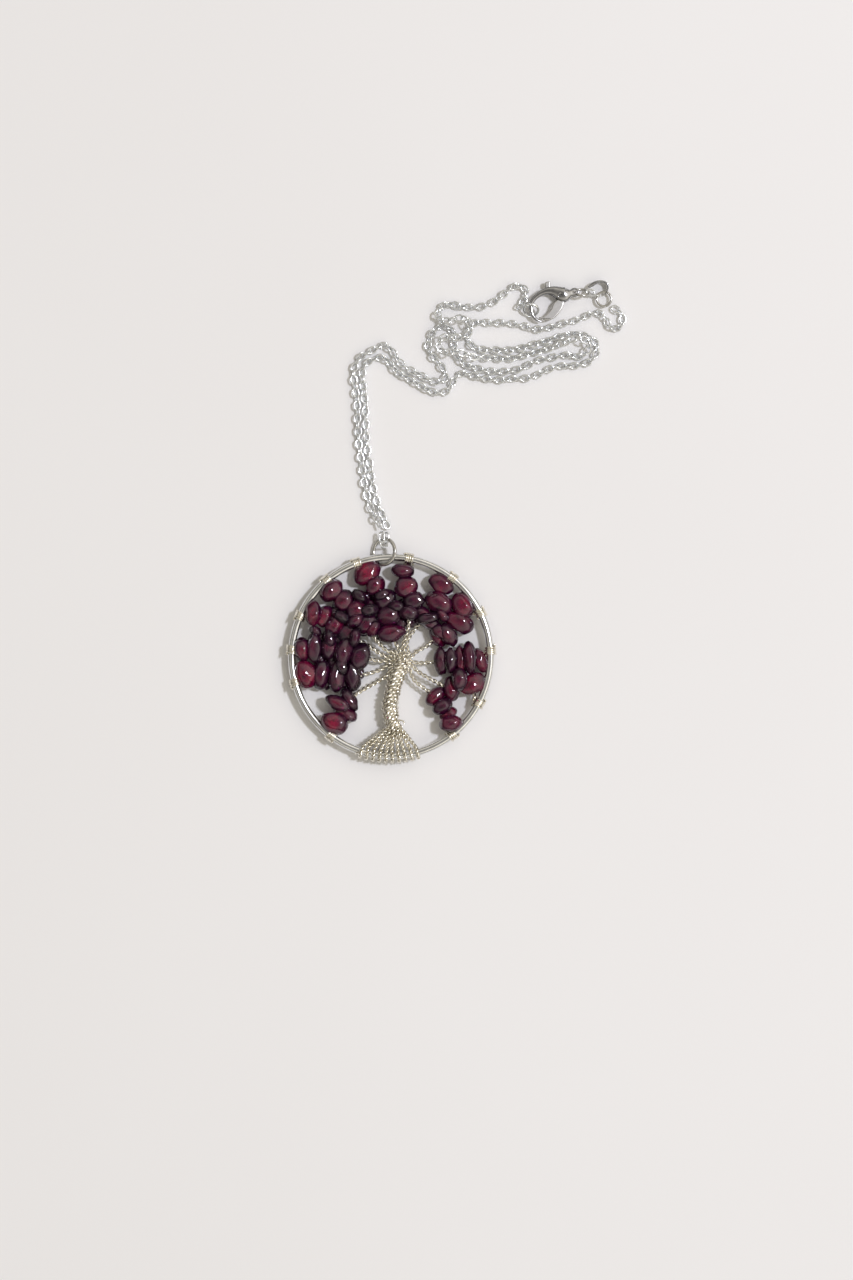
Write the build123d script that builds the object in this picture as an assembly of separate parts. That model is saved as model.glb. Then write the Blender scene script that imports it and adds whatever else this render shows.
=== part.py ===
from build123d import *
import math
import os

# Wire-wrapped tree-of-life pendant on a fine cable chain with a lobster clasp.
# Millimetres, +Z up. The pendant lies flat: its hoop is parallel to XY, +Y points to the bail ring,
# and every piece rests on or above z = 0.

# ---------------------------------------------------------------- driving dimensions
HOOP_X, HOOP_Y = -0.005, -1.591   # middle of the hoop in the part's frame
HOOP_Z = 2.55                     # height of the hoop's wire above the surface
HOOP_R, HOOP_WIRE = 24.1, 0.90    # radius of the hoop's centre line, radius of its wire
STRAND = 0.38                     # radius of a twisted pair of tree wire
HOLE = 0.54                       # radius of the hole through a chip
WRAP_IN, WRAP_OUT, WRAP_LEN = 0.94, 1.36, 1.9
TRUNK_R, CROWN_R = 1.60, 1.82      # twisted trunk, and the ball of wires at its top
BAIL_R, BAIL_WIRE = 3.15, 0.45    # bail ring
BAIL_X = -1.70                    # where it sits on the hoop
BAIL_TILT, BAIL_PITCH = 34.0, 5.0
CHAIN_D = 1.80                    # outer width of the cable chain
LINK_WIRE = 0.225
RING_R, RING_WIRE = 1.75, 0.32    # end ring at the clasp
CLASP_Z, CLASP_T = 1.60, 1.44     # middle height and thickness of the clasp's hook
CLASP_BULB_T = 2.60
LEVER_T, SLOT_T = 0.90, 1.10
PIN_R, LEVER_HOLE = 0.30, 0.36
CROTCH = (2.43, -1.46)            # where the branches leave the trunk, from the hoop's middle

CHAIN_A = [
    (-2.55, 31.43, 2.20), (-4.32, 34.58, 1.10), (-5.75, 38.23, 0.91), (-6.70, 42.84, 0.91), (-7.33, 47.93, 0.91),
    (-8.01, 53.03, 0.91), (-8.15, 57.88, 0.91), (-8.30, 62.25, 0.91), (-8.83, 66.14, 0.91), (-9.32, 69.78, 0.91),
    (-7.77, 72.93, 0.91), (-4.73, 74.27, 0.91), (-2.06, 76.21, 0.91), (0.36, 74.51, 0.91), (1.82, 71.48, 0.91),
    (4.85, 69.53, 0.91), (7.77, 68.08, 0.91), (9.90, 66.82, 0.91), (12.81, 66.43, 0.91), (13.74, 69.10, 0.91),
    (11.36, 71.48, 0.91), (8.88, 74.27, 0.91), (9.08, 77.18, 0.91), (10.56, 79.73, 0.91), (13.11, 80.82, 0.91),
    (15.17, 79.12, 0.91), (15.29, 76.33, 0.91), (15.44, 73.66, 0.91), (17.11, 71.40, 0.91), (19.78, 70.31, 0.91),
    (22.69, 69.53, 0.91), (25.73, 69.15, 0.91), (28.88, 69.39, 0.91), (31.55, 69.82, 0.91), (33.98, 71.23, 0.91),
    (36.89, 72.35, 0.91), (40.05, 72.86, 0.91), (42.96, 73.54, 0.91), (45.63, 72.57, 0.91), (47.93, 73.66, 1.50),
    (48.13, 76.21, 2.60), (45.99, 77.54, 2.85), (43.08, 76.69, 2.85), (40.29, 75.60, 1.50), (37.38, 74.48, 0.91),
    (34.34, 73.85, 0.91), (31.19, 72.74, 0.91), (27.91, 72.25, 0.91), (24.51, 72.64, 0.91), (21.36, 72.45, 1.10),
    (18.57, 73.03, 2.20), (16.02, 74.27, 2.85), (13.47, 73.42, 2.85), (11.29, 74.58, 2.85), (11.53, 77.06, 2.85),
    (13.96, 77.83, 2.85), (16.62, 77.15, 2.85), (19.05, 78.03, 2.85), (19.78, 80.46, 2.85), (17.96, 82.32, 2.85),
    (15.41, 81.79, 2.85), (12.98, 81.06, 2.70), (10.92, 82.57, 1.60), (11.65, 84.92, 0.91), (14.03, 85.89, 0.91),
    (16.50, 85.02, 0.91), (19.05, 84.87, 0.91), (21.60, 84.92, 0.91), (24.15, 85.60, 0.91), (26.45, 87.25, 0.91),
    (28.52, 89.10, 0.91), (30.58, 90.70, 0.91), (33.25, 89.19, 0.91), (32.52, 86.38, 0.91), (30.65, 84.73, 0.91),
]
CHAIN_B = [
    (-0.73, 31.28, 1.00), (-2.33, 34.54, 0.91), (-3.83, 38.71, 0.91), (-4.78, 43.20, 0.91), (-5.41, 48.18, 0.91),
    (-6.07, 53.15, 0.91), (-6.16, 58.01, 0.91), (-6.33, 62.37, 0.91), (-6.89, 66.26, 0.91), (-7.23, 69.34, 0.91),
    (-5.95, 71.52, 0.91), (-4.25, 72.35, 0.91), (-1.75, 73.03, 0.91), (-0.02, 70.94, 0.91), (1.46, 68.90, 0.91),
    (3.52, 67.88, 0.91), (6.43, 66.23, 0.91), (8.74, 64.78, 0.91), (11.46, 63.76, 0.91), (14.22, 64.58, 0.91),
    (15.05, 67.16, 0.91), (16.75, 69.24, 0.91), (19.42, 68.51, 0.91), (20.99, 67.93, 0.91), (24.03, 67.35, 0.91),
    (27.18, 67.20, 0.91), (30.34, 67.64, 0.91), (33.49, 67.49, 0.91), (36.16, 68.76, 0.91), (39.07, 70.26, 0.91),
    (42.23, 70.80, 0.91), (45.38, 70.50, 0.91), (48.30, 71.60, 0.91), (50.29, 73.85, 0.91), (50.00, 76.57, 0.91),
    (47.57, 77.98, 0.91), (44.41, 78.46, 0.91), (41.14, 77.93, 0.91), (37.86, 76.67, 0.91), (34.58, 75.92, 0.91),
    (31.19, 74.80, 0.91), (27.91, 74.24, 0.91), (24.51, 74.63, 0.91), (21.36, 74.48, 0.91), (19.05, 75.55, 0.91),
    (18.30, 78.03, 0.91), (19.08, 80.50, 0.91), (21.36, 81.52, 0.91), (23.54, 81.04, 0.91), (26.70, 81.13, 0.91),
    (29.61, 80.99, 0.91), (32.52, 80.31, 0.91), (35.43, 79.29, 0.91), (38.59, 79.87, 0.91), (41.50, 80.94, 0.91),
    (44.41, 81.38, 0.91), (47.33, 82.74, 0.91), (50.00, 83.95, 0.91), (52.06, 82.88, 0.91), (52.42, 80.31, 0.91),
    (54.85, 79.29, 0.91), (56.79, 81.18, 0.91), (55.92, 83.73, 0.91), (53.98, 84.92, 0.95),
]

# angle of each wrap on the hoop, then the wire's way points, then each chip: centre of its hole (x, y, z), half sizes along the wire, across it and in height,
# direction of the wire in degrees, and how far the stone's middle lies off its hole (x, y)
BRANCHES = {
    1: (79.6, [(2.91, 2.79), (4.13, 6.92)], [
        (4.40, 10.73, 4.05, 1.33, 1.94, 1.70, 78.5, -0.00, 0.00),
        (5.47, 13.51, 3.03, 1.58, 2.18, 1.90, 101.9, -0.00, -0.00),
        (3.64, 16.87, 2.75, 1.82, 2.31, 2.00, 111.8, -0.00, -0.00),
        (2.55, 20.75, 3.05, 1.94, 3.28, 2.30, 85.7, -0.00, 0.00),
    ]),
    2: (110.0, [(0.97, 1.58)], [
        (0.00, 5.70, 2.30, 1.58, 2.91, 2.00, 99.7, -0.00, -0.00),
        (-0.48, 10.07, 2.60, 1.82, 2.43, 2.10, 100.8, -0.00, -0.00),
        (-1.58, 13.96, 2.30, 1.82, 2.18, 2.00, 115.8, -0.00, -0.00),
        (-3.93, 17.24, 2.77, 1.58, 2.06, 1.90, 122.1, -0.00, -0.00),
        (-5.85, 20.23, 2.30, 1.94, 2.91, 2.30, 125.9, -0.00, -0.00),
    ]),
    3: (130.0, [(-1.21, 1.58), (-4.13, 4.73)], [
        (-5.95, 7.64, 2.70, 1.70, 2.43, 2.00, 122.5, -0.00, -0.00),
        (-8.37, 11.41, 3.00, 1.70, 2.18, 1.90, 133.8, -0.00, -0.00),
        (-11.65, 13.59, 2.70, 1.70, 2.31, 1.90, 142.4, -0.00, -0.00),
        (-14.39, 15.93, 3.00, 1.70, 2.67, 2.20, 130.0, -0.00, -0.00),
    ]),
    4: (156.0, [(-1.70, 0.12), (-6.55, 3.28)], [
        (-10.51, 5.59, 2.00, 1.70, 2.31, 2.00, 149.3, -0.00, -0.00),
        (-13.71, 7.52, 2.56, 1.58, 2.18, 1.90, 143.5, -0.00, -0.00),
        (-16.29, 9.72, 1.80, 1.46, 2.18, 1.80, 149.4, -0.00, -0.00),
        (-18.86, 10.52, 3.64, 1.40, 2.45, 2.11, 178.8, -0.00, -0.00),
    ]),
    5: (176.0, [(-2.67, -1.09)], [
        (-7.62, 0.07, 2.69, 1.82, 2.79, 2.20, 164.5, -0.00, -0.00),
        (-11.46, 1.09, 3.55, 1.58, 2.67, 2.20, 163.6, -0.00, -0.00),
        (-15.05, 2.18, 2.60, 1.46, 2.43, 2.10, 174.2, -0.00, -0.00),
        (-18.57, 2.06, 2.90, 1.33, 2.91, 2.30, -175.8, 0.00, -0.00),
        (-21.56, 1.70, 2.60, 1.46, 2.79, 2.30, -175.6, 0.00, -0.00),
    ]),
    6: (195.0, [(-3.40, -3.52)], [
        (-9.49, -4.80, 2.20, 1.58, 2.91, 2.20, -171.6, 0.00, -0.00),
        (-13.23, -4.97, 2.50, 1.46, 3.03, 2.20, 177.3, -0.00, -0.00),
        (-17.07, -4.37, 2.20, 1.58, 2.91, 2.20, 175.5, -0.00, -0.00),
        (-20.74, -4.31, 2.54, 1.94, 2.91, 2.40, -162.6, 0.00, -0.00),
    ]),
    7: (233.0, [(-1.21, -4.73), (-6.07, -7.65)], [
        (-10.31, -10.19, 2.37, 1.21, 2.31, 2.00, -145.8, 0.20, -0.30),
        (-12.23, -11.63, 3.68, 1.21, 2.43, 2.00, -117.3, -0.65, 0.33),
        (-11.71, -13.76, 2.00, 1.21, 2.31, 2.00, -109.3, 0.69, -0.24),
        (-13.56, -16.12, 3.25, 1.94, 3.28, 2.50, -115.3, -0.22, 0.10),
    ]),
    8: (308.0, [(5.58, -5.70), (8.25, -7.89)], [
        (10.68, -9.71, 2.19, 1.33, 2.06, 1.90, -44.5, 0.00, 0.00),
        (12.45, -12.01, 3.18, 1.33, 1.94, 1.90, -53.1, 0.00, 0.00),
        (13.92, -13.92, 1.70, 1.21, 1.70, 1.70, -61.8, 0.00, 0.00),
        (14.42, -16.17, 3.75, 1.46, 2.18, 2.00, -80.9, 0.00, 0.00),
    ]),
    9: (332.0, [(7.04, -4.00), (11.41, -6.43)], [
        (14.50, -7.85, 2.02, 1.51, 2.45, 2.02, 0.0, -0.00, 0.00),
        (16.60, -5.51, 3.89, 1.40, 2.15, 1.86, 1.0, -0.00, 0.00),
        (19.78, -6.75, 2.21, 1.72, 2.79, 2.21, -59.0, 0.00, 0.00),
    ]),
    10: (3.4, [(7.04, -1.58)], [
        (12.01, -1.09, 2.51, 1.21, 2.67, 2.20, 5.6, -0.00, 0.00),
        (14.48, -0.85, 3.44, 1.21, 2.43, 2.10, -2.8, 0.00, 0.00),
        (16.81, -1.00, 2.21, 1.17, 2.80, 2.21, 3.4, -0.00, 0.00),
        (19.09, -0.39, 3.45, 1.21, 3.03, 2.30, 5.4, -0.00, 0.00),
        (21.64, -0.92, 2.20, 1.21, 2.43, 2.20, 21.3, -0.00, 0.00),
    ]),
    11: (26.0, [(6.07, 1.09), (8.98, 2.79)], [
        (11.35, 4.94, 1.90, 1.33, 2.18, 1.90, 27.7, -0.00, 0.00),
        (13.95, 5.36, 3.26, 1.33, 2.31, 1.90, 30.6, -0.00, 0.00),
        (16.61, 8.29, 2.21, 1.82, 2.79, 2.20, 61.6, -0.00, 0.00),
        (17.30, 12.42, 2.69, 1.82, 2.67, 2.20, 27.4, -0.00, 0.00),
    ]),
    12: (52.0, [(3.88, 3.52), (5.82, 6.67)], [
        (8.39, 9.28, 2.20, 1.46, 3.15, 2.20, 48.4, -0.00, 0.00),
        (11.53, 13.11, 2.90, 2.06, 2.67, 2.30, 63.8, -0.00, 0.00),
        (12.13, 17.60, 2.60, 1.70, 2.43, 2.00, 60.3, -0.00, 0.00),
    ]),
}

os.makedirs("parts", exist_ok=True)
FRAME = Location((HOOP_X, HOOP_Y, 0))
EVERY = {}


def put(name, *solids):
    """Moves the solids from the hoop's own coordinates into the part's frame and writes the node."""
    parts = []
    for s in solids:
        parts += list((FRAME * s).solids())
    whole = parts[0] if len(parts) == 1 else Compound(children=parts)
    EVERY[name] = whole.bounding_box()
    export_step(whole, f"parts/{name}.step")
    return whole


def rounded(points, share=0.45, most=None):
    """Straight runs joined by arcs: the line, its radii and its length."""
    pts = [Vector(*p) for p in points]
    keep = [pts[0]]
    for i in range(1, len(pts) - 1):
        u, v = pts[i] - keep[-1], pts[i + 1] - pts[i]
        if u.get_angle(v) > 1.0:
            keep.append(pts[i])
    keep.append(pts[-1])
    radii = []
    for i in range(1, len(keep) - 1):
        u, v = keep[i] - keep[i - 1], keep[i + 1] - keep[i]
        half = math.radians(u.get_angle(v)) / 2
        r = share * min(u.length, v.length) / math.tan(half)
        radii.append(min(r, most) if most else r)
    line = FilletPolyline(*keep, radius=radii) if radii else Polyline(*keep)
    return line, radii


def wire_along(points, radius, most=None):
    line, radii = rounded(points, most=most)
    start = line.location_at(0)
    section = Plane(origin=line.position_at(0), z_dir=line.tangent_at(0)) * Circle(radius)
    return sweep(section, path=line), radii, line.length


def ring(radius, wire):
    return Torus(radius, wire)


def link(length, width, wire):
    """An oval link, long along X, lying in XY."""
    r = width / 2 - wire
    half = length / 2 - wire - r
    path = (
        Line((-half, r), (half, r))
        + RadiusArc((half, r), (half, -r), r)
        + Line((half, -r), (-half, -r))
        + RadiusArc((-half, -r), (-half, r), r)
    )
    section = Plane(origin=(0, r, 0), z_dir=(1, 0, 0)) * Circle(wire)
    straight = Cylinder(wire, 2 * half, rotation=(0, 90, 0)) if half > 0 else None
    end = Torus(r, wire) & Pos(5, 0, 0) * Box(10, 20, 10)
    solid = Pos(half, 0, 0) * end + Pos(-half, 0, 0) * (Rot(0, 0, 180) * end)
    if straight is not None:
        solid = solid + Pos(0, r, 0) * straight + Pos(0, -r, 0) * straight
    return solid


def outline(points):
    return make_face(Polyline(*points, close=True))


# ---------------------------------------------------------------- hoop
hoop = Pos(0, 0, HOOP_Z) * Torus(HOOP_R, HOOP_WIRE)
put("hoop", hoop)

# ---------------------------------------------------------------- coils of the branch ends on the hoop
profile = Pos(0, (WRAP_IN + 1.14) / 2) * Rectangle(WRAP_LEN, 1.14 - WRAP_IN)
for k in range(4):
    profile += Pos(-0.69 + 0.46 * k, WRAP_OUT - 0.24) * Circle(0.24)
profile -= Pos(0, 0) * Rectangle(WRAP_LEN + 2, 2 * WRAP_IN)
coil = revolve(profile, axis=Axis.X, revolution_arc=360)
for n, (angle, way, chips) in BRANCHES.items():
    a = math.radians(angle)
    place = Pos(HOOP_R * math.cos(a), HOOP_R * math.sin(a), HOOP_Z) * Rot(0, 0, angle + 90)
    put(f"hoop_wrap_{n:02d}", place * coil)

# ---------------------------------------------------------------- trunk
crotch = (CROTCH[0], CROTCH[1], HOOP_Z)
trunk_line = [(CROTCH[0], CROTCH[1] - 0.4, HOOP_Z), (1.0, -8.2, HOOP_Z), (0.15, -13.2, HOOP_Z), (0.55, -17.05, HOOP_Z)]
trunk, _, _ = wire_along(trunk_line, TRUNK_R, most=12)
trunk = trunk + Pos(*crotch) * Sphere(CROWN_R)

# ---------------------------------------------------------------- roots, each hooked round the hoop
roots = []
for i in range(10):
    foot = math.radians(252.6 + i * 3.62)
    c, s = math.cos(foot), math.sin(foot)
    x0 = 0.55 + (i - 4.5) * 0.42
    z0 = HOOP_Z + (0.43 if i % 2 else -0.43)
    g = HOOP_WIRE + STRAND + 0.07
    r = [HOOP_R - 3.4, HOOP_R - 1.2, HOOP_R + g, HOOP_R + g, HOOP_R - g]
    h = [HOOP_Z + 0.9, HOOP_Z + g, HOOP_Z + g, HOOP_Z - g, HOOP_Z - g]
    pts = [(x0, -17.24 + 0.1035 * (x0 - 0.55), z0), (x0 * 0.75 + r[0] * c * 0.25, -18.0, z0)]
    pts += [(r[k] * c, r[k] * s, h[k]) for k in range(5)]
    root, _, _ = wire_along(pts, STRAND, most=1.15)
    roots.append(root)
put("roots", *roots)

# ---------------------------------------------------------------- branches and their garnet chips
# compass direction in which each branch leaves the trunk's top
START = {8: -42, 9: -18, 10: 5, 11: 28, 12: 51, 1: 74, 2: 96, 3: 118, 4: 140, 5: 162, 6: 184, 7: 206}


def chip(hx, hy, hz, turn, seed):
    """A tumbled stone chip: blunt, with flat facets, widest at its girdle."""
    rings = []
    for k, (lat, off) in enumerate(((-42, 0.5), (0, 0.0), (42, 0.5))):
        lat = math.radians(lat)
        row = []
        for j in range(7):
            w = math.radians((j + off) * 360 / 7 + turn_of(seed, k * 7 + j) * 9)
            f = 1.0 - 0.05 * abs(turn_of(seed + 3, k * 7 + j))
            row.append((hx * f * math.cos(lat) * math.cos(w), hy * f * math.cos(lat) * math.sin(w), hz * f * math.sin(lat)))
        rings.append(row)
    low, high = (0, 0, -hz), (0, 0, hz)
    tri = []
    for j in range(7):
        i = (j + 1) % 7
        tri.append((low, rings[0][i], rings[0][j]))
        tri.append((rings[0][j], rings[0][i], rings[1][i]))
        tri.append((rings[0][j], rings[1][i], rings[1][j]))
        tri.append((rings[1][j], rings[1][i], rings[2][j]))
        tri.append((rings[2][j], rings[1][i], rings[2][i]))
        tri.append((rings[2][j], rings[2][i], high))
    faces = [Face(Wire.make_polygon([Vector(*q) for q in t], close=True)) for t in tri]
    return Rot(0, 0, turn) * Solid(Shell(faces))


def turn_of(seed, k):
    """A fixed number from -1 to 1 for each facet."""
    v = math.sin(seed * 12.9898 + k * 78.233) * 43758.5453
    return 2 * (v - math.floor(v)) - 1


def drill(p, q, radius, extra=0.0):
    """A round bar from p to q, the tool for a straight hole."""
    p, q = Vector(*p), Vector(*q)
    d = (q - p).normalized()
    return extrude(Plane(origin=p - d * extra, z_dir=d) * Circle(radius), (q - p).length + 2 * extra)


for n, (angle, way, chips) in BRANCHES.items():
    a, b = math.radians(angle), math.radians(START[n])
    r0 = CROWN_R + 0.03
    lift = 0.18 if n % 2 else -0.18
    pts = [(CROTCH[0] + r0 * math.cos(b), CROTCH[1] + r0 * math.sin(b), HOOP_Z + lift),
           (CROTCH[0] + (r0 + 1.0) * math.cos(b), CROTCH[1] + (r0 + 1.0) * math.sin(b), HOOP_Z + lift)]
    pts += [(x, y, HOOP_Z + lift) for x, y in way if math.hypot(x - pts[1][0], y - pts[1][1]) > 1.2]
    first = len(pts)
    pts += [(c[0], c[1], c[2]) for c in chips]
    # the wire stops just short of its coil, whatever its slant there
    e = Vector(math.cos(a), math.sin(a), 0)
    d = (e * (HOOP_R - WRAP_OUT) + Vector(0, 0, HOOP_Z) - Vector(*pts[-1])).normalized()
    stop = HOOP_R - WRAP_OUT - 0.03 - STRAND * math.sqrt(max(0.0, 1 - d.dot(e) ** 2))
    pts += [(stop * math.cos(a), stop * math.sin(a), HOOP_Z)]
    strand, _, _ = wire_along(pts, STRAND, most=1.0)
    put(f"branch_wire_{n:02d}", strand)
    if n in (7, 8):
        trunk -= drill(pts[0], pts[1], STRAND + 0.05, 0.6)
    coil_room = Pos(HOOP_R * math.cos(a), HOOP_R * math.sin(a), HOOP_Z) * Rot(0, 0, angle + 90) * Rot(0, 90, 0) * Cylinder(WRAP_OUT + 0.03, WRAP_LEN + 0.06)
    stones = []
    for k, (x, y, z, hx, hy, hz, turn, ex, ey) in enumerate(chips):
        i = first + k
        stone = Pos(x + ex, y + ey, z) * chip(hx, hy, hz, turn, 10 * n + k)
        before, after = Vector(*pts[i]) - Vector(*pts[i - 1]), Vector(*pts[i + 1]) - Vector(*pts[i])
        if before.get_angle(after) < 9:
            stone -= drill(pts[i - 1], pts[i + 1], HOLE, 0.12)
        else:
            stone -= drill(pts[i - 1], pts[i], HOLE, 0.12)
            stone -= drill(pts[i], pts[i + 1], HOLE + 0.015, 0.12)
        if k == len(chips) - 1:
            stone -= coil_room
        touching = stone & strand
        if touching and sum(q.volume for q in touching.solids()) > 0.004:
            print("trimmed to its wire:", n, k)
            stone -= strand
        stone = max(stone.solids(), key=lambda q: q.volume)
        stones.append(stone)
    put(f"garnet_chips_{n:02d}", *stones)
put("trunk", trunk)

# ---------------------------------------------------------------- bail ring
hoop_y = math.sqrt(HOOP_R**2 - BAIL_X**2)
reach = HOOP_WIRE + BAIL_WIRE + 0.41   # the ring leans over the hoop, so its wire crosses the hoop's at a slant
p = math.radians(BAIL_PITCH)
bail_mid = Vector(BAIL_X, hoop_y - reach + BAIL_R * math.cos(p), HOOP_Z - BAIL_R * math.sin(p))
BAIL_FRAME = Location((bail_mid.X, bail_mid.Y, bail_mid.Z)) * Rot(-BAIL_PITCH, 0, 0) * Rot(0, -BAIL_TILT, 0)
put("bail_ring", BAIL_FRAME * ring(BAIL_R, BAIL_WIRE))

# ---------------------------------------------------------------- the three chain links that pass through the bail ring
top = BAIL_FRAME * Pos(0, BAIL_R, 0)          # X along the ring's wire, Y away from its middle, Z across it
over = top * Pos(0, 0.28, 0.95) * Rot(0, 0, 93) * link(3.1, CHAIN_D, LINK_WIRE)
under = top * Pos(0, 0.28, -0.95) * Rot(0, 0, 87) * link(3.1, CHAIN_D, LINK_WIRE)
through = top * Pos(0, -1.42, 0) * Rot(0, 90, 0) * link(3.4, CHAIN_D, LINK_WIRE)
put("chain_bail_links", over, under, through)

# ---------------------------------------------------------------- the two halves of the chain
for name, route in (("chain_half_clasp_side", CHAIN_A), ("chain_half_tag_side", CHAIN_B)):
    tube, radii, length = wire_along(route, CHAIN_D / 2)
    put(name, tube)
    want = math.pi * (CHAIN_D / 2) ** 2 * length
    print(name, "length %.1f mm, volume %.1f against %.1f, tightest radius %.2f" % (length, tube.volume, want, min(radii)))
    print("   radii", " ".join("%.1f" % r for r in radii))

# ---------------------------------------------------------------- end ring
put("end_ring", Pos(33.96, 84.10, 1.61) * Rot(42, 0, 0) * ring(RING_R, RING_WIRE))


# ---------------------------------------------------------------- lobster clasp
def slab(points, thick, z=CLASP_Z):
    return extrude(Pos(0, 0, z - thick / 2) * outline(points), thick)


HOOK = [(36.53, 81.03), (35.31, 81.30), (34.21, 82.10), (33.50, 83.60), (33.25, 85.31), (33.61, 86.77), (34.58, 87.98),
        (36.16, 88.95), (38.10, 89.63), (40.29, 89.92), (41.99, 89.85), (43.69, 89.56), (43.69, 87.25), (43.20, 86.40),
        (42.35, 85.55), (41.14, 85.40), (40.05, 86.16), (39.20, 87.25), (37.86, 87.83), (36.40, 87.54), (35.31, 86.81), (34.61, 85.79),
        (34.46, 84.58), (34.75, 83.36), (35.43, 82.25), (36.53, 81.57)]
LEVER = [(41.02, 87.37), (39.44, 85.79), (38.83, 84.34), (37.74, 83.12), (36.94, 82.55), (35.82, 82.43), (36.53, 81.91), (37.50, 81.47), (38.59, 81.59), (40.05, 82.52),
         (41.38, 84.22), (42.11, 85.79), (42.00, 87.60), (41.02, 88.35), (39.68, 88.71), (38.59, 89.60), (38.71, 91.01), (37.42, 90.95),
         (37.27, 89.92), (37.62, 89.07), (38.95, 88.35), (39.90, 87.50)]
PIVOT = (41.02, 87.61)
EYE = (44.56, 88.39)
body = slab(HOOK, CLASP_T)
body += Pos(41.3, 87.75, CLASP_Z) * scale(Sphere(1), by=(1.95, 2.05, CLASP_BULB_T / 2))
body += Pos(EYE[0], EYE[1], CLASP_Z) * Cylinder(1.1, 0.9)
body += Pos(43.2, 88.3, CLASP_Z) * Box(1.2, 1.5, 0.9)
slot_face = [(36.6, 92.2), (42.3, 92.2), (42.55, 88.3), (42.75, 84.9), (42.0, 82.6), (38.6, 84.3), (39.0, 87.3), (36.9, 89.1)]
body -= slab(slot_face, SLOT_T)
body -= Pos(PIVOT[0], PIVOT[1], CLASP_Z) * Cylinder(PIN_R, 6)
body -= Pos(EYE[0], EYE[1], CLASP_Z) * Cylinder(0.75, 6)
body = max(body.solids(), key=lambda q: q.volume)
put("clasp_body", body)
lever = slab(LEVER, LEVER_T) + Pos(PIVOT[0], PIVOT[1], CLASP_Z) * Cylinder(0.80, LEVER_T)
lever -= Pos(PIVOT[0], PIVOT[1], CLASP_Z) * Cylinder(LEVER_HOLE, 6)
put("clasp_lever", lever)
put("clasp_pin", Pos(PIVOT[0], PIVOT[1], CLASP_Z) * Cylinder(PIN_R, CLASP_BULB_T - 0.12))
SPRING = [(42.28, 88.9), (42.42, 88.9), (42.44, 87.6), (42.50, 86.4), (42.36, 86.4), (42.30, 87.6)]
put("clasp_spring", slab(SPRING, 0.70))

# ---------------------------------------------------------------- rings and links on the clasp's eye, and the end tag
put("clasp_jump_ring", Pos(EYE[0] + 1.71, EYE[1], 1.65) * Rot(-56, 0, 0) * ring(1.60, 0.30))
l1 = Pos(48.34, 88.40, 1.56) * link(2.4, CHAIN_D, LINK_WIRE)
l2 = Pos(49.73, 87.71, 1.32) * Rot(0, 0, -18) * Rot(90, 0, 0) * link(2.4, CHAIN_D, LINK_WIRE)
put("extension_links", l1, l2)
J2 = (51.72, 86.85, 1.25)
put("extension_ring", Pos(*J2) * ring(1.75, 0.30))

hang = math.radians(65)
hx, hy = J2[0] + 1.75 * math.cos(hang), J2[1] + 1.75 * math.sin(hang)
tag_line = [(51.75, 87.15), (hx, hy), (52.75, 90.0), (51.9, 91.05), (50.2, 91.35), (48.6, 90.75), (47.7, 89.6)]
inner, outer = [], []
for i, (x, y) in enumerate(tag_line):
    x1, y1 = tag_line[max(i - 1, 0)]
    x2, y2 = tag_line[min(i + 1, len(tag_line) - 1)]
    d = math.hypot(x2 - x1, y2 - y1)
    nx, ny = -(y2 - y1) / d * 0.21, (x2 - x1) / d * 0.21
    outer.append((x - nx, y - ny))
    inner.append((x + nx, y + ny))
strip = slab(outer + inner[::-1], 2.5, 1.45)
shape = [(46.5, 1.75), (47.6, 1.95), (49.6, 2.60), (51.2, 2.40), (52.3, 2.15), (54, 2.1), (54, 0.40), (52.3, 0.36), (51.2, 0.30), (49.6, 0.42), (47.6, 1.30), (46.5, 1.5)]
side = extrude(Plane.XZ.offset(-84) * outline(shape), -12)
tag = strip & side
tag -= Pos(hx, hy, J2[2]) * Rot(0, 0, 65 + 90) * Rot(0, 90, 0) * Cylinder(0.48, 1.6)
tag = max(tag.solids(), key=lambda q: q.volume)
put("end_tag", tag)

# ---------------------------------------------------------------- the frame: origin under the middle of the pendant and bail ring
cord = {"chain_half_clasp_side", "chain_half_tag_side", "chain_bail_links", "end_ring", "clasp_body", "clasp_lever", "clasp_pin", "clasp_spring",
        "clasp_jump_ring", "extension_links", "extension_ring", "end_tag"}
lo = [min(tuple(b.min)[k] for n, b in EVERY.items() if n not in cord) for k in range(3)]
hi = [max(tuple(b.max)[k] for n, b in EVERY.items() if n not in cord) for k in range(3)]
print("pendant box", [round(v, 3) for v in lo], [round(v, 3) for v in hi])
print("off centre by", round((lo[0] + hi[0]) / 2, 3), round((lo[1] + hi[1]) / 2, 3), "lowest", round(lo[2], 3))
low = {n: round(b.min.Z, 3) for n, b in EVERY.items() if b.min.Z < 0.06}
print("lowest pieces", low)
print("nodes", len(EVERY))
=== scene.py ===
import math
import random

import bmesh
import bpy
from mathutils import Matrix, Vector, noise


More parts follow.
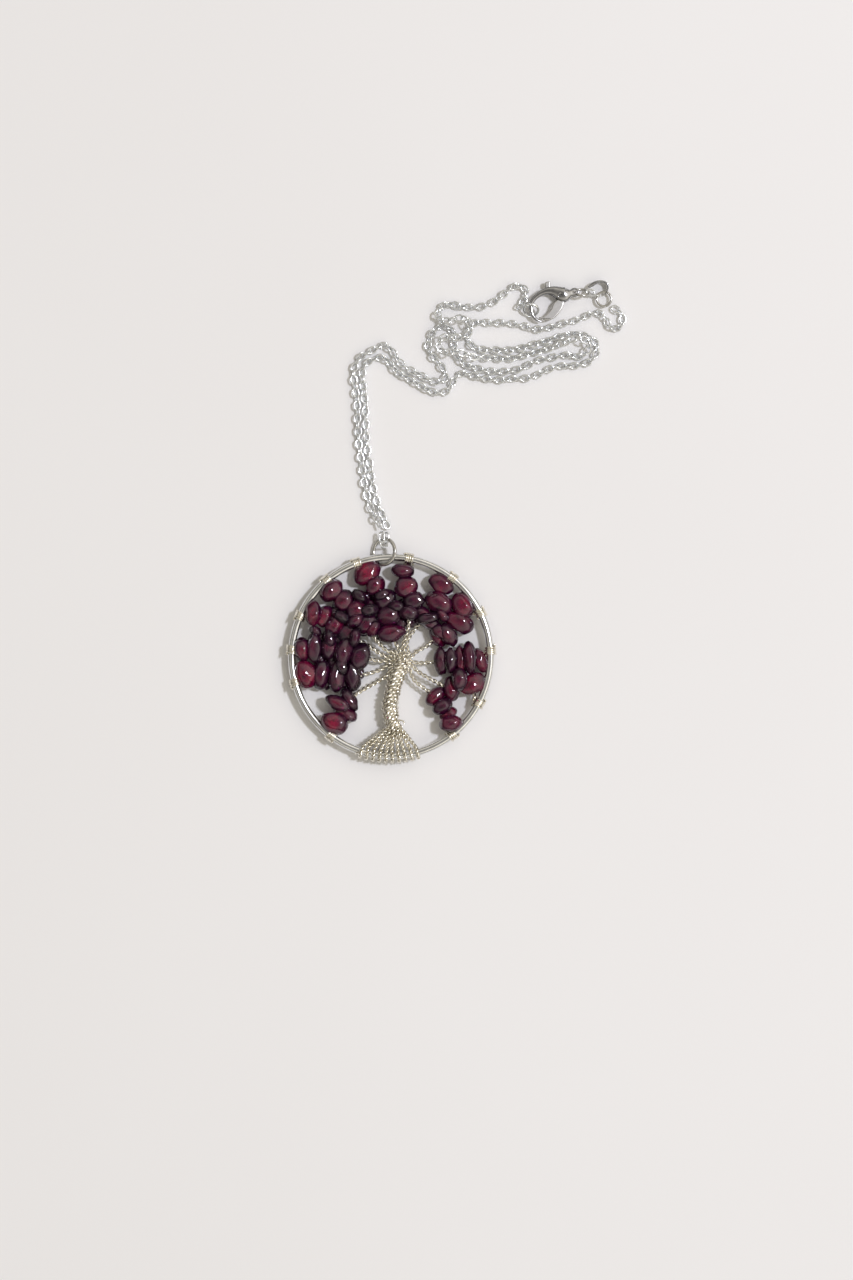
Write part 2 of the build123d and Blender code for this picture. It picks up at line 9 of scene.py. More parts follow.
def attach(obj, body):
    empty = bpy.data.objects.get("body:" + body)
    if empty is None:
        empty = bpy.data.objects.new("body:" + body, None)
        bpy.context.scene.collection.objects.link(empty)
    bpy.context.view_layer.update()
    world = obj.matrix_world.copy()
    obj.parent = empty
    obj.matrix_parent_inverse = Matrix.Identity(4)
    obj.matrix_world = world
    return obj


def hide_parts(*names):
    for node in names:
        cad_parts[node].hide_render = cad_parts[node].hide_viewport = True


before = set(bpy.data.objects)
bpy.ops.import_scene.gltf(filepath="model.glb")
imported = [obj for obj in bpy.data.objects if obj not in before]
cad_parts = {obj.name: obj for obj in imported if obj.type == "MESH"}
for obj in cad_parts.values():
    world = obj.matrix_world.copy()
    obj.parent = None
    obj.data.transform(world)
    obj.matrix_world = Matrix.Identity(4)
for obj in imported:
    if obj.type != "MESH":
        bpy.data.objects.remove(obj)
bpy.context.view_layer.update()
rng = random.Random(494)

HX, HY, HZ = -0.005, -1.591, 2.55      # middle of the hoop, millimetres in the row's frame


def at(x, y, z):
    """Millimetres from the middle of the hoop, height above the surface, to the row's frame in metres."""
    return Vector(((x + HX) / 1000, (y + HY) / 1000, z / 1000))


# ---------------------------------------------------------------- camera, floor, light
cam_data = bpy.data.cameras.new("camera")
cam_data.lens, cam_data.sensor_width = 85, 36
cam = bpy.data.objects.new("camera", cam_data)
bpy.context.scene.collection.objects.link(cam)
aim = at(8.6, 4.0, 2.0)
cam.location = (aim.x, aim.y, aim.z + 0.3107 * 85 / 36)
cam.rotation_euler = (0, 0, 0)
bpy.context.scene.camera = cam
bpy.context.scene.view_settings.view_transform = "Standard"

# the chain's two routes, from the bail ring to the end ring and to the extension ring
CHAIN_A = [
    (-0.00255, 0.02984, 0.00220), (-0.00432, 0.03299, 0.00110), (-0.00575, 0.03664, 0.00091), (-0.00671, 0.04125, 0.00091),
    (-0.00734, 0.04634, 0.00091), (-0.00802, 0.05144, 0.00091), (-0.00816, 0.05629, 0.00091), (-0.00831, 0.06066, 0.00091),
    (-0.00884, 0.06455, 0.00091), (-0.00933, 0.06819, 0.00091), (-0.00777, 0.07134, 0.00091), (-0.00474, 0.07268, 0.00091),
    (-0.00206, 0.07462, 0.00091), (0.00035, 0.07292, 0.00091), (0.00182, 0.06989, 0.00091), (0.00484, 0.06794, 0.00091),
    (0.00776, 0.06649, 0.00091), (0.00989, 0.06523, 0.00091), (0.01281, 0.06484, 0.00091), (0.01373, 0.06751, 0.00091),
    (0.01135, 0.06989, 0.00091), (0.00887, 0.07268, 0.00091), (0.00907, 0.07559, 0.00091), (0.01056, 0.07814, 0.00091),
    (0.01310, 0.07923, 0.00091), (0.01516, 0.07753, 0.00091), (0.01528, 0.07474, 0.00091), (0.01543, 0.07207, 0.00091),
    (0.01711, 0.06981, 0.00091), (0.01978, 0.06872, 0.00091), (0.02269, 0.06794, 0.00091), (0.02573, 0.06756, 0.00091),
    (0.02888, 0.06780, 0.00091), (0.03155, 0.06823, 0.00091), (0.03397, 0.06964, 0.00091), (0.03689, 0.07076, 0.00091),
    (0.04004, 0.07127, 0.00091), (0.04296, 0.07195, 0.00091), (0.04562, 0.07098, 0.00091), (0.04792, 0.07207, 0.00150),
    (0.04813, 0.07462, 0.00260), (0.04598, 0.07595, 0.00285), (0.04307, 0.07510, 0.00285), (0.04028, 0.07401, 0.00150),
    (0.03737, 0.07289, 0.00091), (0.03433, 0.07226, 0.00091), (0.03119, 0.07115, 0.00091), (0.02791, 0.07066, 0.00091),
    (0.02451, 0.07105, 0.00091), (0.02135, 0.07086, 0.00110), (0.01857, 0.07144, 0.00220), (0.01602, 0.07268, 0.00285),
    (0.01346, 0.07183, 0.00285), (0.01128, 0.07299, 0.00285), (0.01152, 0.07547, 0.00285), (0.01396, 0.07624, 0.00285),
    (0.01662, 0.07556, 0.00285), (0.01905, 0.07644, 0.00285), (0.01978, 0.07887, 0.00285), (0.01796, 0.08073, 0.00285),
    (0.01540, 0.08020, 0.00285), (0.01298, 0.07947, 0.00270), (0.01091, 0.08098, 0.00160), (0.01164, 0.08333, 0.00091),
    (0.01402, 0.08430, 0.00091), (0.01650, 0.08343, 0.00091), (0.01905, 0.08328, 0.00091), (0.02160, 0.08333, 0.00091),
    (0.02414, 0.08401, 0.00091), (0.02644, 0.08566, 0.00091), (0.02852, 0.08751, 0.00091), (0.03057, 0.08911, 0.00091),
    (0.03324, 0.08760, 0.00091), (0.03252, 0.08479, 0.00091), (0.03064, 0.08314, 0.00091),
]
CHAIN_B = [
    (-0.00073, 0.02969, 0.00100), (-0.00233, 0.03295, 0.00091), (-0.00383, 0.03712, 0.00091), (-0.00479, 0.04161, 0.00091),
    (-0.00541, 0.04659, 0.00091), (-0.00608, 0.05156, 0.00091), (-0.00617, 0.05642, 0.00091), (-0.00634, 0.06078, 0.00091),
    (-0.00689, 0.06467, 0.00091), (-0.00724, 0.06775, 0.00091), (-0.00596, 0.06993, 0.00091), (-0.00426, 0.07076, 0.00091),
    (-0.00175, 0.07144, 0.00091), (-0.00003, 0.06935, 0.00091), (0.00146, 0.06731, 0.00091), (0.00352, 0.06629, 0.00091),
    (0.00643, 0.06464, 0.00091), (0.00873, 0.06319, 0.00091), (0.01145, 0.06217, 0.00091), (0.01422, 0.06299, 0.00091),
    (0.01504, 0.06557, 0.00091), (0.01674, 0.06765, 0.00091), (0.01942, 0.06692, 0.00091), (0.02099, 0.06634, 0.00091),
    (0.02403, 0.06576, 0.00091), (0.02718, 0.06561, 0.00091), (0.03034, 0.06605, 0.00091), (0.03349, 0.06590, 0.00091),
    (0.03615, 0.06717, 0.00091), (0.03906, 0.06867, 0.00091), (0.04222, 0.06921, 0.00091), (0.04537, 0.06891, 0.00091),
    (0.04829, 0.07001, 0.00091), (0.05028, 0.07226, 0.00091), (0.04999, 0.07498, 0.00091), (0.04756, 0.07639, 0.00091),
    (0.04440, 0.07687, 0.00091), (0.04113, 0.07634, 0.00091), (0.03785, 0.07508, 0.00091), (0.03457, 0.07433, 0.00091),
    (0.03119, 0.07321, 0.00091), (0.02791, 0.07265, 0.00091), (0.02451, 0.07304, 0.00091), (0.02135, 0.07289, 0.00091),
    (0.01905, 0.07396, 0.00091), (0.01830, 0.07644, 0.00091), (0.01907, 0.07891, 0.00091), (0.02135, 0.07993, 0.00091),
    (0.02354, 0.07945, 0.00091), (0.02669, 0.07954, 0.00091), (0.02960, 0.07940, 0.00091), (0.03252, 0.07872, 0.00091),
    (0.03542, 0.07770, 0.00091), (0.03859, 0.07828, 0.00091), (0.04149, 0.07935, 0.00091), (0.04440, 0.07979, 0.00091),
    (0.04732, 0.08115, 0.00091), (0.04999, 0.08236, 0.00091), (0.05205, 0.08129, 0.00091), (0.05241, 0.07872, 0.00091),
    (0.05484, 0.07770, 0.00091), (0.05678, 0.07959, 0.00091), (0.05591, 0.08214, 0.00091), (0.05397, 0.08333, 0.00095),
]

# millimetres from the middle of the hoop
# angle of each wrap on the hoop, then the wire's way points, then each chip: centre of its hole (x, y, z), half sizes along the wire, across it and in height,
# direction of the wire in degrees, and how far the stone's middle lies off its hole (x, y)
BRANCHES = {
    1: (79.6, [(2.91, 2.79), (4.13, 6.92)], [
        (4.40, 10.73, 4.05, 1.33, 1.94, 1.70, 78.5, -0.00, 0.00),
        (5.47, 13.51, 3.03, 1.58, 2.18, 1.90, 101.9, -0.00, -0.00),
        (3.64, 16.87, 2.75, 1.82, 2.31, 2.00, 111.8, -0.00, -0.00),
        (2.55, 20.75, 3.05, 1.94, 3.28, 2.30, 85.7, -0.00, 0.00),
    ]),
    2: (110.0, [(0.97, 1.58)], [
        (0.00, 5.70, 2.30, 1.58, 2.91, 2.00, 99.7, -0.00, -0.00),
        (-0.48, 10.07, 2.60, 1.82, 2.43, 2.10, 100.8, -0.00, -0.00),
        (-1.58, 13.96, 2.30, 1.82, 2.18, 2.00, 115.8, -0.00, -0.00),
        (-3.93, 17.24, 2.77, 1.58, 2.06, 1.90, 122.1, -0.00, -0.00),
        (-5.85, 20.23, 2.30, 1.94, 2.91, 2.30, 125.9, -0.00, -0.00),
    ]),
    3: (130.0, [(-1.21, 1.58), (-4.13, 4.73)], [
        (-5.95, 7.64, 2.70, 1.70, 2.43, 2.00, 122.5, -0.00, -0.00),
        (-8.37, 11.41, 3.00, 1.70, 2.18, 1.90, 133.8, -0.00, -0.00),
        (-11.65, 13.59, 2.70, 1.70, 2.31, 1.90, 142.4, -0.00, -0.00),
        (-14.39, 15.93, 3.00, 1.70, 2.67, 2.20, 130.0, -0.00, -0.00),
    ]),
    4: (156.0, [(-1.70, 0.12), (-6.55, 3.28)], [
        (-10.51, 5.59, 2.00, 1.70, 2.31, 2.00, 149.3, -0.00, -0.00),
        (-13.71, 7.52, 2.56, 1.58, 2.18, 1.90, 143.5, -0.00, -0.00),
        (-16.29, 9.72, 1.80, 1.46, 2.18, 1.80, 149.4, -0.00, -0.00),
        (-18.86, 10.52, 3.64, 1.40, 2.45, 2.11, 178.8, -0.00, -0.00),
    ]),
    5: (176.0, [(-2.67, -1.09)], [
        (-7.62, 0.07, 2.69, 1.82, 2.79, 2.20, 164.5, -0.00, -0.00),
        (-11.46, 1.09, 3.55, 1.58, 2.67, 2.20, 163.6, -0.00, -0.00),
        (-15.05, 2.18, 2.60, 1.46, 2.43, 2.10, 174.2, -0.00, -0.00),
        (-18.57, 2.06, 2.90, 1.33, 2.91, 2.30, -175.8, 0.00, -0.00),
        (-21.56, 1.70, 2.60, 1.46, 2.79, 2.30, -175.6, 0.00, -0.00),
    ]),
    6: (195.0, [(-3.40, -3.52)], [
        (-9.49, -4.80, 2.20, 1.58, 2.91, 2.20, -171.6, 0.00, -0.00),
        (-13.23, -4.97, 2.50, 1.46, 3.03, 2.20, 177.3, -0.00, -0.00),
        (-17.07, -4.37, 2.20, 1.58, 2.91, 2.20, 175.5, -0.00, -0.00),
        (-20.74, -4.31, 2.54, 1.94, 2.91, 2.40, -162.6, 0.00, -0.00),
    ]),
    7: (233.0, [(-1.21, -4.73), (-6.07, -7.65)], [
        (-10.31, -10.19, 2.37, 1.21, 2.31, 2.00, -145.8, 0.20, -0.30),
        (-12.23, -11.63, 3.68, 1.21, 2.43, 2.00, -117.3, -0.65, 0.33),
        (-11.71, -13.76, 2.00, 1.21, 2.31, 2.00, -109.3, 0.69, -0.24),
        (-13.56, -16.12, 3.25, 1.94, 3.28, 2.50, -115.3, -0.22, 0.10),
    ]),
    8: (308.0, [(5.58, -5.70), (8.25, -7.89)], [
        (10.68, -9.71, 2.19, 1.33, 2.06, 1.90, -44.5, 0.00, 0.00),
        (12.45, -12.01, 3.18, 1.33, 1.94, 1.90, -53.1, 0.00, 0.00),
        (13.92, -13.92, 1.70, 1.21, 1.70, 1.70, -61.8, 0.00, 0.00),
        (14.42, -16.17, 3.75, 1.46, 2.18, 2.00, -80.9, 0.00, 0.00),
    ]),
    9: (332.0, [(7.04, -4.00), (11.41, -6.43)], [
        (14.50, -7.85, 2.02, 1.51, 2.45, 2.02, 0.0, -0.00, 0.00),
        (16.60, -5.51, 3.89, 1.40, 2.15, 1.86, 1.0, -0.00, 0.00),
        (19.78, -6.75, 2.21, 1.72, 2.79, 2.21, -59.0, 0.00, 0.00),
    ]),
    10: (3.4, [(7.04, -1.58)], [
        (12.01, -1.09, 2.51, 1.21, 2.67, 2.20, 5.6, -0.00, 0.00),
        (14.48, -0.85, 3.44, 1.21, 2.43, 2.10, -2.8, 0.00, 0.00),
        (16.81, -1.00, 2.21, 1.17, 2.80, 2.21, 3.4, -0.00, 0.00),
        (19.09, -0.39, 3.45, 1.21, 3.03, 2.30, 5.4, -0.00, 0.00),
        (21.64, -0.92, 2.20, 1.21, 2.43, 2.20, 21.3, -0.00, 0.00),
    ]),
    11: (26.0, [(6.07, 1.09), (8.98, 2.79)], [
        (11.35, 4.94, 1.90, 1.33, 2.18, 1.90, 27.7, -0.00, 0.00),
        (13.95, 5.36, 3.26, 1.33, 2.31, 1.90, 30.6, -0.00, 0.00),
        (16.61, 8.29, 2.21, 1.82, 2.79, 2.20, 61.6, -0.00, 0.00),
        (17.30, 12.42, 2.69, 1.82, 2.67, 2.20, 27.4, -0.00, 0.00),
    ]),
    12: (52.0, [(3.88, 3.52), (5.82, 6.67)], [
        (8.39, 9.28, 2.20, 1.46, 3.15, 2.20, 48.4, -0.00, 0.00),
        (11.53, 13.11, 2.90, 2.06, 2.67, 2.30, 63.8, -0.00, 0.00),
        (12.13, 17.60, 2.60, 1.70, 2.43, 2.00, 60.3, -0.00, 0.00),
    ]),
}


# ---------------------------------------------------------------- materials
def nodes_of(name):
    m = bpy.data.materials.new(name)
    m.use_nodes = True
    nt = m.node_tree
    return m, nt, nt.nodes["Principled BSDF"]


def add(nt, kind, **props):
    n = nt.nodes.new(kind)
    for k, v in props.items():
        setattr(n, k, v)
    return n


def noise_tex(nt, scale, detail=4.0, rough=0.55, coords=None, stretch=None):
    n = add(nt, "ShaderNodeTexNoise")
    n.inputs["Scale"].default_value = scale
    n.inputs["Detail"].default_value = detail
    n.inputs["Roughness"].default_value = rough
    tc = add(nt, "ShaderNodeTexCoord")
    if stretch:
        mp = add(nt, "ShaderNodeMapping")
        mp.inputs["Scale"].default_value = stretch
        nt.links.new(tc.outputs["Object"], mp.inputs["Vector"])
        nt.links.new(mp.outputs["Vector"], n.inputs["Vector"])
    else:
        nt.links.new(tc.outputs["Object"], n.inputs["Vector"])
    return n


def ramp(nt, src, stops):
    r = add(nt, "ShaderNodeValToRGB")
    e = r.color_ramp.elements
    while len(e) < len(stops):
        e.new(0.5)
    for el, (p, c) in zip(e, stops):
        el.position, el.color = p, (*c, 1)
    nt.links.new(src, r.inputs["Fac"])
    return r


def metal(name, low, high, rough, grain=1400, wear=260, bump=0.12, dist=0.00002):
    m, nt, p = nodes_of(name)
    big, fine = noise_tex(nt, wear, 6.0, 0.62), noise_tex(nt, grain, 3.0, 0.7)
    col = ramp(nt, big.outputs["Fac"], [(0.28, low), (0.5, tuple((a + b) / 2 for a, b in zip(low, high))), (0.68, high)])
    nt.links.new(col.outputs["Color"], p.inputs["Base Color"])
    p.inputs["Metallic"].default_value = 1.0
    mr = add(nt, "ShaderNodeMapRange")
    mr.inputs["To Min"].default_value, mr.inputs["To Max"].default_value = rough
    nt.links.new(fine.outputs["Fac"], mr.inputs["Value"])
    nt.links.new(mr.outputs["Result"], p.inputs["Roughness"])
    b = add(nt, "ShaderNodeBump")
    b.inputs["Strength"].default_value, b.inputs["Distance"].default_value = bump, dist
    nt.links.new(fine.outputs["Fac"], b.inputs["Height"])
    nt.links.new(b.outputs["Normal"], p.inputs["Normal"])
    return m


WIRE = metal("silver_wire", (0.70, 0.655, 0.55), (0.98, 0.95, 0.87), (0.10, 0.26), grain=2200, wear=420, bump=0.2)
HOOP = metal("hoop_silver", (0.66, 0.66, 0.65), (0.97, 0.98, 0.98), (0.12, 0.28), grain=1500, wear=180, bump=0.15)
CHAIN = metal("chain_silver", (0.80, 0.82, 0.84), (0.97, 0.99, 1.0), (0.10, 0.24), grain=2600, wear=500, bump=0.12)
STEEL = metal("clasp_steel", (0.30, 0.30, 0.31), (0.58, 0.58, 0.59), (0.12, 0.26), grain=1800, wear=320, bump=0.12)
RING = metal("ring_steel", (0.42, 0.41, 0.39), (0.74, 0.73, 0.70), (0.12, 0.26), grain=1800, wear=320, bump=0.12)

GATE = metal("gate_steel", (0.50, 0.49, 0.47), (0.74, 0.73, 0.71), (0.30, 0.44), grain=1800, wear=320, bump=0.12)


def garnet():
    m, nt, p = nodes_of("garnet")
    body, veins, fine = noise_tex(nt, 260, 5.0, 0.6), noise_tex(nt, 640, 6.0, 0.7), noise_tex(nt, 3000, 3.0, 0.6)
    # the tone attribute holds each stone's own tone plus a painted glow in its middle and a painted dark rim
    info = add(nt, "ShaderNodeAttribute", attribute_name="tone")
    mix = add(nt, "ShaderNodeMath", operation="MULTIPLY_ADD")
    nt.links.new(info.outputs["Fac"], mix.inputs[0])
    mix.inputs[1].default_value = 0.62
    nt.links.new(body.outputs["Fac"], mix.inputs[2])
    less = add(nt, "ShaderNodeMath", operation="SUBTRACT")
    nt.links.new(mix.outputs[0], less.inputs[0])
    less.inputs[1].default_value = 0.30
    col = ramp(nt, less.outputs[0], [(0.22, (0.020, 0.004, 0.018)), (0.46, (0.062, 0.004, 0.036)), (0.68, (0.155, 0.004, 0.045)), (0.95, (0.40, 0.008, 0.055))])
    dark = add(nt, "ShaderNodeMixRGB", blend_type="MULTIPLY")
    dark.inputs["Fac"].default_value = 0.78
    vein = ramp(nt, veins.outputs["Fac"], [(0.36, (0.25, 0.2, 0.25)), (0.52, (1, 1, 1))])
    nt.links.new(col.outputs["Color"], dark.inputs["Color1"])
    nt.links.new(vein.outputs["Color"], dark.inputs["Color2"])
    nt.links.new(dark.outputs["Color"], p.inputs["Base Color"])
    mr = add(nt, "ShaderNodeMapRange")
    mr.inputs["To Min"].default_value, mr.inputs["To Max"].default_value = 0.03, 0.12
    nt.links.new(veins.outputs["Fac"], mr.inputs["Value"])
    nt.links.new(mr.outputs["Result"], p.inputs["Roughness"])
    p.inputs["IOR"].default_value = 1.6
    p.inputs["Transmission Weight"].default_value = 0.45
    p.inputs["Specular IOR Level"].default_value = 0.3
    p.inputs["Coat Weight"].default_value = 0.4
    p.inputs["Coat Roughness"].default_value = 0.03
    b = add(nt, "ShaderNodeBump")
    b.inputs["Strength"].default_value, b.inputs["Distance"].default_value = 0.35, 0.00006
    nt.links.new(veins.outputs["Fac"], b.inputs["Height"])
    b2 = add(nt, "ShaderNodeBump")
    b2.inputs["Strength"].default_value, b2.inputs["Distance"].default_value = 0.12, 0.00002
    nt.links.new(fine.outputs["Fac"], b2.inputs["Height"])
    nt.links.new(b.outputs["Normal"], b2.inputs["Normal"])
    nt.links.new(b2.outputs["Normal"], p.inputs["Normal"])
    return m


GARNET = garnet()


# ---------------------------------------------------------------- mesh helpers (everything in metres)
class Soup:
    def __init__(self):
        self.v, self.f, self.tone = [], [], []

    def rings(self, rings, closed=False, cap=True, tone=0.5):
        base, n, k = len(self.v), len(rings[0]), len(rings)
        for r in rings:
            self.v += [tuple(p) for p in r]
        self.tone += [tone] * (n * k)
        for i in range(k if closed else k - 1):
            a, b = base + i * n, base + ((i + 1) % k) * n
            for j in range(n):
                q = (j + 1) % n
                self.f.append((a + j, a + q, b + q, b + j))
        if cap and not closed:
            self.f.append(tuple(base + j for j in reversed(range(n))))
            self.f.append(tuple(base + (k - 1) * n + j for j in range(n)))

    def tube(self, pts, radius, sides=8, closed=False, up=None, tone=0.5):
        fr = frames(pts, closed, up)
        rings = []
        for i, (p, (t, n, b)) in enumerate(zip(pts, fr)):
            r = radius[i] if isinstance(radius, (list, tuple)) else radius
            rings.append([p + n * (r * math.cos(2 * math.pi * j / sides)) + b * (r * math.sin(2 * math.pi * j / sides)) for j in range(sides)])
        if closed:
            # join without a twist: pick the shift of the last ring that lies nearest the first
            rings = untwist(rings)
        self.rings(rings, closed, tone=tone)

    def object(self, name, mat, body, slot_name, smooth=True, tones=False):
        me = bpy.data.meshes.new(name)
        me.from_pydata(self.v, [], self.f)
        me.validate()
        if smooth:
            me.polygons.foreach_set("use_smooth", [True] * len(me.polygons))
        if tones:
            at_ = me.attributes.new("tone", "FLOAT", "POINT")
            at_.data.foreach_set("value", self.tone)
        o = bpy.data.objects.new(name, me)
        bpy.context.scene.collection.objects.link(o)
        me.materials.append(mat)
        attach(o, body)
        return o


def untwist(rings):
    n = len(rings[0])
    out = [rings[0]]
    for r in rings[1:]:
        best = min(range(n), key=lambda s: sum((r[(j + s) % n] - out[-1][j]).length_squared for j in range(n)))
        out.append([r[(j + best) % n] for j in range(n)])
    return out


def frames(pts, closed=False, up=None):
    """Tangent, normal, binormal carried along the line without twisting."""
    m = len(pts)
    out, n = [], None
    for i in range(m):
        a = pts[(i - 1) % m] if closed or i > 0 else pts[0]
        b = pts[(i + 1) % m] if closed or i < m - 1 else pts[-1]
        t = (b - a).normalized()
        if n is None:
            ref = up or (Vector((0, 0, 1)) if abs(t.z) < 0.9 else Vector((1, 0, 0)))
            n = (ref - t * ref.dot(t)).normalized()
        else:
            n = (n - t * n.dot(t)).normalized()
        out.append((t, n, t.cross(n)))
    return out


def smooth_line(pts, step):
    """A rounded line through the points, at even steps."""
    pts = [Vector(p) for p in pts]
    fine = []
    for i in range(len(pts) - 1):
        p0, p1, p2, p3 = pts[max(i - 1, 0)], pts[i], pts[i + 1], pts[min(i + 2, len(pts) - 1)]
        for k in range(12):
            u = k / 12
            fine.append(0.5 * ((2 * p1) + (p2 - p0) * u + (2 * p0 - 5 * p1 + 4 * p2 - p3) * u * u + (3 * p1 - p0 - 3 * p2 + p3) * u ** 3))
    fine.append(pts[-1])
    return even(fine, step)


def even(line, step):
    total = sum((b - a).length for a, b in zip(line, line[1:]))
    n = max(2, round(total / step))
    out, want, run = [line[0]], total / n, 0.0
    for a, b in zip(line, line[1:]):
        seg = (b - a).length
        while seg > 0 and run + seg >= want * len(out) - 1e-12 and len(out) < n:
            out.append(a.lerp(b, (want * len(out) - run) / seg))
        run += seg
    out.append(line[-1])
    return out


def twisted(soup, line, wire, apart, pitch, strands=2, sides=7, phase=0.0):
    """Strands of wire laid round a line."""
    fr = frames(line)
    step = (line[1] - line[0]).length
    for s in range(strands):
        pts = []
        for i, (p, (t, n, b)) in enumerate(zip(line, fr)):
            w = phase + 2 * math.pi * (s / strands + i * step / pitch)
            pts.append(p + n * (apart * math.cos(w)) + b * (apart * math.sin(w)))
        soup.tube(pts, wire, sides)


MM = 0.001

# ---------------------------------------------------------------- the chain
def route_curve(name, points):
    cu = bpy.data.curves.new(name, "CURVE")
    cu.dimensions = "3D"
    sp = cu.splines.new("NURBS")
    sp.points.add(len(points) - 1)
    for q, p in zip(sp.points, points):
        q.co = (*p, 1)
    sp.order_u = 3
    sp.use_endpoint_u = True
    cu.resolution_u = 10
    o = bpy.data.objects.new(name, cu)
    bpy.context.scene.collection.objects.link(o)
    bpy.context.view_layer.update()
    me = bpy.data.meshes.new_from_object(o.evaluated_get(bpy.context.evaluated_depsgraph_get()))
    line = [v.co.copy() for v in me.vertices]
    bpy.data.meshes.remove(me)
    bpy.data.objects.remove(o)
    bpy.data.curves.remove(cu)
    return line


def oval(length, width, wire, seg=9):
    """Centre line of an oval link, long along X."""
    r, half = width / 2 - wire, length / 2 - wire - (width / 2 - wire)
    pts = []
    for k in range(seg):
        w = -math.pi / 2 + math.pi * k / (seg - 1)
        pts.append(Vector((half + r * math.cos(w), r * math.sin(w), 0)))
    for k in range(seg):
        w = math.pi / 2 + math.pi * k / (seg - 1)
        pts.append(Vector((-half + r * math.cos(w), r * math.sin(w), 0)))
    return pts


LINK = oval(2.5 * MM, 1.98 * MM, 0.23 * MM)


def chain(name, points, node, first_roll):
    line = route_curve(name + "_route", points)
    total = sum((b - a).length for a, b in zip(line, line[1:]))
    n = int(total / (1.56 * MM))
    n -= n % 2 == 0
    spots = even(line, total / n)
    soup = Soup()
    for i, (a, b) in enumerate(zip(spots, spots[1:])):
        t = (b - a).normalized()
        ref = Vector((0, 0, 1))
        side = ref.cross(t).normalized()
        up = t.cross(side)
        roll = math.radians((18 if (i + first_roll) % 2 else -64) + rng.uniform(-15, 15))
        y = side * math.cos(roll) + up * math.sin(roll)
        z = t.cross(y)
        mid = (a + b) / 2 + side * rng.uniform(-0.06, 0.06) * MM
        yaw = rng.uniform(-0.09, 0.09)
        t2 = t * math.cos(yaw) + side * math.sin(yaw)
        z = t2.cross(y).normalized()
        y = z.cross(t2)
        pts = [mid + t2 * p.x + y * p.y + z * p.z for p in LINK]
        low = min(p.z for p in pts) - 0.23 * MM
        if low < 0.02 * MM:
            pts = [p + Vector((0, 0, 0.02 * MM - low)) for p in pts]
        soup.tube(pts, 0.23 * MM, 8, closed=True)
    o = soup.object(name, CHAIN, "chain", "chain_silver")
    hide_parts(node)
    return o, line, total


chain_a, line_a, len_a = chain("chain_links_clasp_side", CHAIN_A, "chain_half_clasp_side", 0)
chain_b, line_b, len_b = chain("chain_links_tag_side", CHAIN_B, "chain_half_tag_side", 1)


# ---------------------------------------------------------------- floor and light
fm, fnt, fp = nodes_of("floor")
fn = noise_tex(fnt, 3.0, 5.0, 0.5)
fc = ramp(fnt, fn.outputs["Fac"], [(0.3, (0.815, 0.808, 0.803)), (0.7, (0.845, 0.842, 0.840))])
fnt.links.new(fc.outputs["Color"], fp.inputs["Base Color"])
fp.inputs["Roughness"].default_value = 0.6
fp.inputs["Specular IOR Level"].default_value = 0.25
me = bpy.data.meshes.new("floor")
me.from_pydata([(-2, -2, 0), (2, -2, 0), (2, 2, 0), (-2, 2, 0)], [], [(0, 1, 2, 3)])
me.materials.append(fm)
floor = bpy.data.objects.new("floor", me)
bpy.context.scene.collection.objects.link(floor)


def area(name, place, size, watts, colour=(1, 1, 1)):
    d = bpy.data.lights.new(name, "AREA")
    d.shape, d.size, d.energy, d.color = "DISK", size, watts, colour
    o = bpy.data.objects.new(name, d)
    bpy.context.scene.collection.objects.link(o)
    o.location = place
    o.rotation_euler = (aim - Vector(place)).to_track_quat("-Z", "Y").to_euler()
    return o


area("key", (0.99, 0.35, 1.63), 0.21, 20.0, (0.88, 0.893, 1.0))
world = bpy.data.worlds.new("studio")
bpy.context.scene.world = world
world.use_nodes = True
wn = world.node_tree
wtc = add(wn, "ShaderNodeTexCoord")
wsep = add(wn, "ShaderNodeSeparateXYZ")
wn.links.new(wtc.outputs["Generated"], wsep.inputs[0])
wr = ramp(wn, wsep.outputs["Z"], [(0.02, (0.16, 0.15, 0.13)), (0.30, (0.36, 0.335, 0.29)), (0.52, (1.30, 1.22, 1.07)), (0.80, (1.20, 1.13, 1.00)), (0.97, (0.36, 0.34, 0.31))])
wn.links.new(wr.outputs["Color"], wn.nodes["Background"].inputs["Color"])
side = add(wn, "ShaderNodeMath", operation="MULTIPLY_ADD")
wn.links.new(wsep.outputs["X"], side.inputs[0])
side.inputs[1].default_value, side.inputs[2].default_value = 0.44, 0.67
wn.links.new(side.outputs[0], wn.nodes["Background"].inputs["Strength"])

# ---------------------------------------------------------------- hoop coils
for n_, (angle, way, chips) in BRANCHES.items():
    a = math.radians(angle)
    c = at(24.1 * math.cos(a), 24.1 * math.sin(a), HZ)
    t = Vector((-math.sin(a), math.cos(a), 0))
    e = Vector((math.cos(a), math.sin(a), 0))
    z = Vector((0, 0, 1))
    soup = Soup()
    turns, steps = 4.6, 96
    lean = rng.uniform(-0.12, 0.12)
    pts = []
    for k in range(steps + 1):
        u = k / steps
        w = 2 * math.pi * turns * u + math.pi
        along = (-1.12 + 2.24 * u + 0.05 * math.sin(w * 1.3 + n_)) * MM
        r = (1.22 + 0.05 * math.sin(w * 0.7 + n_)) * MM
        pts.append(c + t * (along + lean * r * math.cos(w)) + e * (r * math.cos(w)) + z * (r * math.sin(w)))
    soup.tube(pts, 0.26 * MM, 8)
    # the cut end of the wire, pressed against the coil
    tail = [pts[-1], pts[-1] + t * 0.2 * MM + z * 0.15 * MM, pts[-1] + t * 0.38 * MM + z * 0.05 * MM]
    soup.tube(tail, 0.19 * MM, 7)
    o = soup.object(f"wrap_{n_:02d}", WIRE, "pendant", "silver_wire")
    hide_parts(f"hoop_wrap_{n_:02d}")

